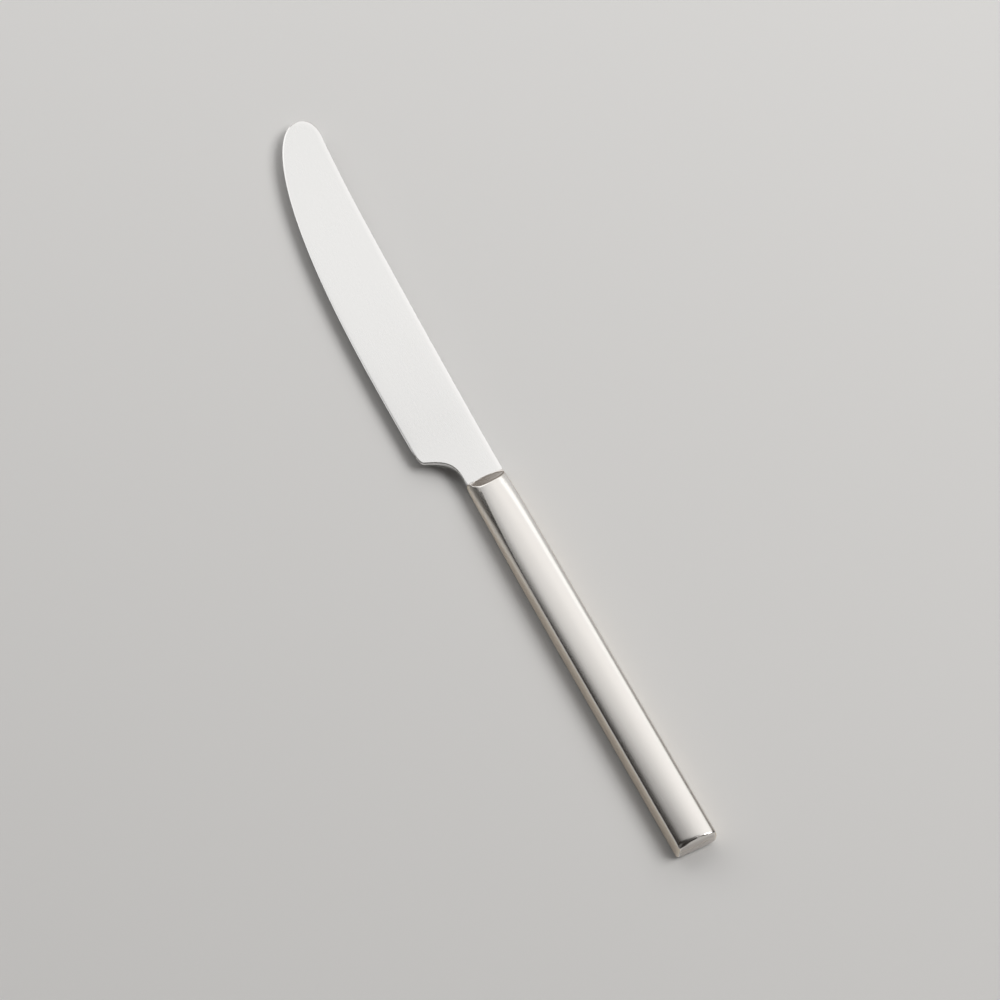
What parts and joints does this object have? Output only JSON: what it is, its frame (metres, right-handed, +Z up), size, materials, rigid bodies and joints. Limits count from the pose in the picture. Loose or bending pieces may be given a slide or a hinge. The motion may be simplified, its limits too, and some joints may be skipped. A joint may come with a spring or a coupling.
{
  "type": "table knife",
  "caption": "Metal table knife with a broad round-tipped blade, a stepped heel and a slim pillowed hollow handle, for cutting food at the table.",
  "frame": {"origin": "under the middle of the knife's length and width, on the surface that the handle rests on", "axes": "+X from the butt of the handle to the tip of the blade, +Y towards the cutting edge, +Z up from the surface"},
  "size_m": [0.24, 0.0214, 0.007],
  "materials": {
    "blade_steel": "satin",
    "handle_steel": "satin",
    "braze": "satin",
    "cement": "matte"
  },
  "bodies": {
    "root": {"blade": "blade_steel", "upper_shell": "handle_steel", "lower_shell": "handle_steel", "seam_braze": "braze", "neck_braze": "braze", "tang_cement": "cement"}
  },
  "joints": []
}
